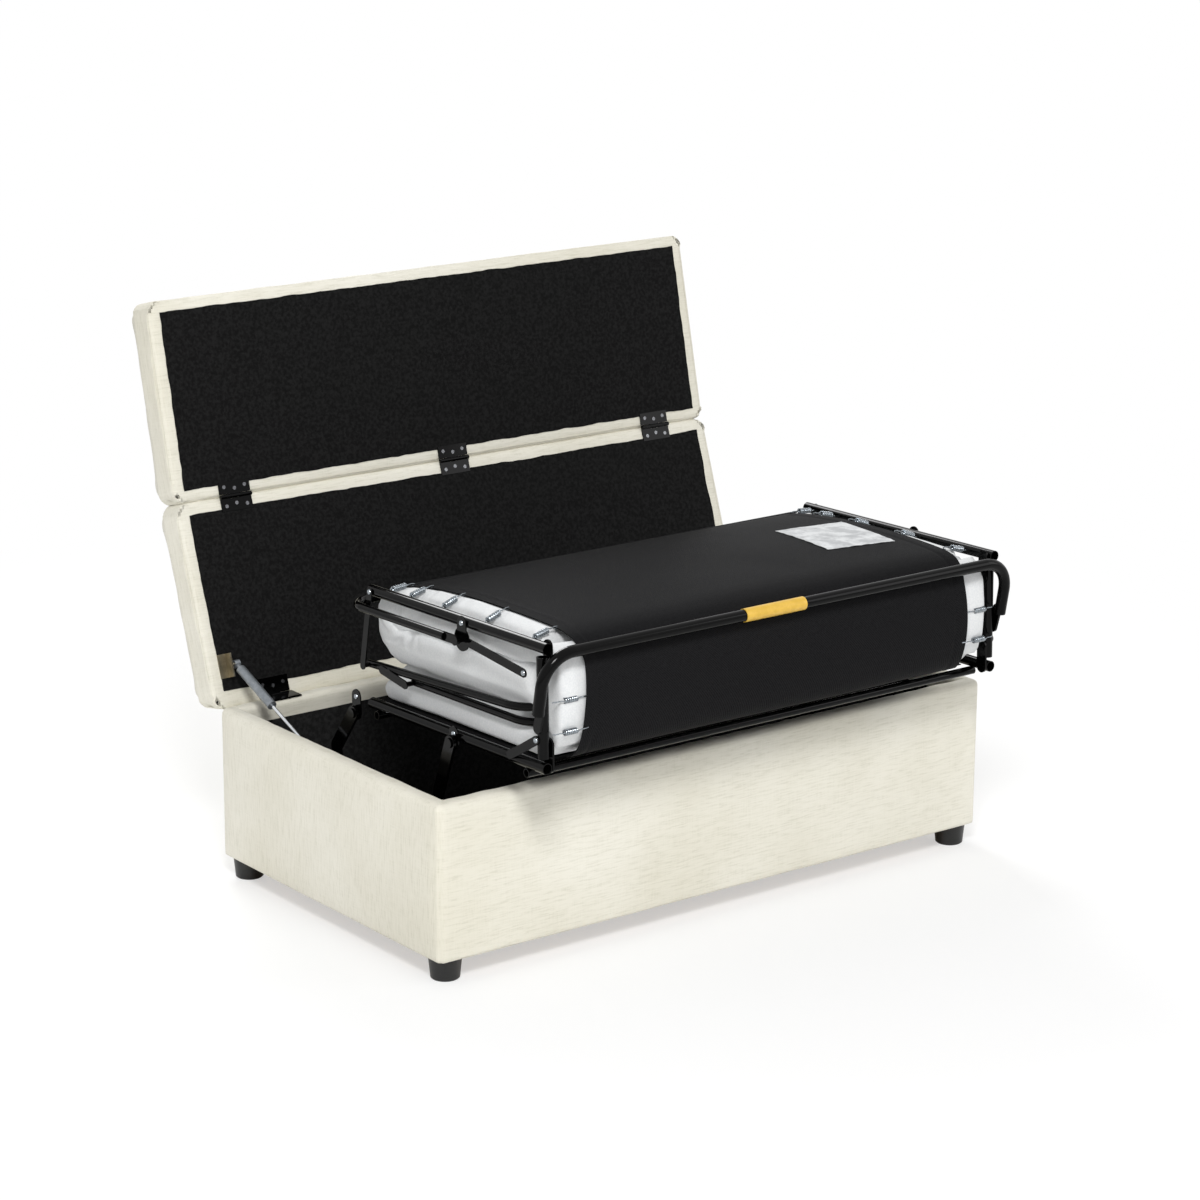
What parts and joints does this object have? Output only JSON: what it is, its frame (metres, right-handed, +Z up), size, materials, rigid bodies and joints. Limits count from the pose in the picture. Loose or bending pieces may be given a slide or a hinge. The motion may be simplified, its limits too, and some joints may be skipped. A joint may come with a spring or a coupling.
{
  "type": "fold out ottoman guest bed",
  "caption": "Upholstered ottoman box with a two-part lid on gas struts and a folded metal sprung guest bed that lifts out on swinging arms.",
  "frame": {"origin": "on the floor under the middle of the upholstered box", "axes": "+X along the ottoman from left to right, +Y from front to back, +Z up"},
  "size_m": [1.12, 1.0744, 0.9335],
  "materials": {
    "board": "plywood",
    "upholstery": "ivory woven",
    "black_lining": "non-woven lining",
    "sling_cloth": "woven",
    "mattress": "quilted white",
    "black_steel": "powder coated",
    "spring_steel": "zinc plated",
    "brass_plate": "passivated",
    "strut_grey": "satin",
    "strut_rod": "polished",
    "sleeve_yellow": "soft",
    "foot_black": "moulded"
  },
  "bodies": {
    "base": {"base_floor": "board", "base_board_front": "board", "base_board_back": "board", "base_board_left": "board", "base_board_right": "board", "base_cover": "upholstery", "base_lining": "black_lining", "foot_front_left": "foot_black", "foot_front_right": "foot_black", "foot_back_left": "foot_black", "foot_back_right": "foot_black", "base_hinge_leaves": "black_steel", "strut_wall_brackets": "brass_plate", "arm_wall_brackets": "black_steel"},
    "rear_lid": {"rear_lid_board": "board", "rear_lid_cushion": "upholstery", "rear_lid_lining": "black_lining", "rear_lid_base_leaves": "black_steel", "rear_lid_fold_leaves": "black_steel", "strut_lid_brackets": "brass_plate"},
    "front_lid": {"front_lid_board": "board", "front_lid_cushion": "upholstery", "front_lid_lining": "black_lining", "front_lid_fold_leaves": "black_steel"},
    "strut_rods": {"strut_rods": "strut_rod"},
    "strut_cylinders": {"strut_cylinders": "strut_grey"},
    "front_arms": {"front_lift_arms": "black_steel"},
    "rear_arms": {"rear_lift_arms": "black_steel"},
    "lower_section": {"lower_rails": "black_steel", "lower_cross_tubes": "black_steel", "lower_pivot_plates": "black_steel", "lower_sling": "sling_cloth", "lower_mattress": "mattress", "lower_rivets": "spring_steel"},
    "front_section": {"front_rails": "black_steel", "front_joint_plates": "black_steel", "front_levers": "black_steel", "pull_bar": "black_steel", "pull_sleeve": "sleeve_yellow", "front_sling": "sling_cloth", "front_mattress": "mattress", "front_rivets": "spring_steel", "front_springs_left": "spring_steel", "front_springs_right": "spring_steel"},
    "top_section": {"top_rails": "black_steel", "top_sling": "sling_cloth", "back_sling": "sling_cloth", "inner_sling": "sling_cloth", "folded_mattress": "mattress", "inner_frame": "black_steel", "inner_leg": "black_steel", "leg_discs": "black_steel", "back_links": "black_steel", "inner_links": "black_steel", "top_rivets": "spring_steel", "top_springs_left": "spring_steel", "top_springs_right": "spring_steel"},
    "middle_leg": {"middle_leg": "black_steel"}
  },
  "joints": [
    {"name": "bed_lift", "type": "hinge", "parent": "base", "child": "front_arms", "pos_m": [0, -0.19054, 0.16602], "axis": [1, 0, 0], "range_deg": [-126.2, 0]},
    {"name": "bed_level", "type": "hinge", "parent": "front_arms", "child": "lower_section", "pos_m": [0, -0.22, 0.352], "axis": [1, 0, 0], "range_deg": [-1, 127.2]},
    {"name": "rear_arm_swing", "type": "hinge", "parent": "base", "child": "rear_arms", "pos_m": [0, 0.07946, 0.14602], "axis": [1, 0, 0], "range_deg": [-127.2, 1]},
    {"name": "lid", "type": "hinge", "parent": "base", "child": "rear_lid", "pos_m": [0, 0.3205, 0.29], "axis": [-1, 0, 0], "range_deg": [-62, 0]},
    {"name": "lid_fold", "type": "hinge", "parent": "rear_lid", "child": "front_lid", "pos_m": [0, 0.43505, 0.61067], "axis": [1, 0, 0], "range_deg": [-6.25, 144]},
    {"name": "strut_swing", "type": "hinge", "parent": "base", "child": "strut_rods", "pos_m": [0, 0.105, 0.257], "axis": [-1, 0, 0], "range_deg": [-4.21, 0.5]},
    {"name": "strut_slide", "type": "slide", "parent": "strut_rods", "child": "strut_cylinders", "axis": [0, 0.924, 0.3824], "range_m": [-0.06824, 0.002]},
    {"name": "front_section_swing", "type": "hinge", "parent": "lower_section", "child": "front_section", "pos_m": [0, -0.43772, 0.3657], "axis": [1, 0, 0], "range_deg": [0, 90]},
    {"name": "top_section_swing", "type": "hinge", "parent": "front_section", "child": "top_section", "pos_m": [0, -0.43282, 0.55264], "axis": [1, 0, 0], "range_deg": [0, 90]},
    {"name": "middle_leg_swing", "type": "hinge", "parent": "top_section", "child": "middle_leg", "pos_m": [0, -0.24254, 0.52265], "axis": [1, 0, 0], "range_deg": [-1, 91]}
  ],
  "couplings": [
    {"joint": "bed_level", "follows": "bed_lift", "ratio": -1},
    {"joint": "rear_arm_swing", "follows": "bed_lift", "ratio": 1},
    {"joint": "strut_swing", "follows": "lid", "ratio": 0.059839},
    {"joint": "strut_slide", "follows": "lid", "m_per_rad": 0.061216},
    {"joint": "middle_leg_swing", "follows": "top_section_swing", "ratio": 1}
  ]
}
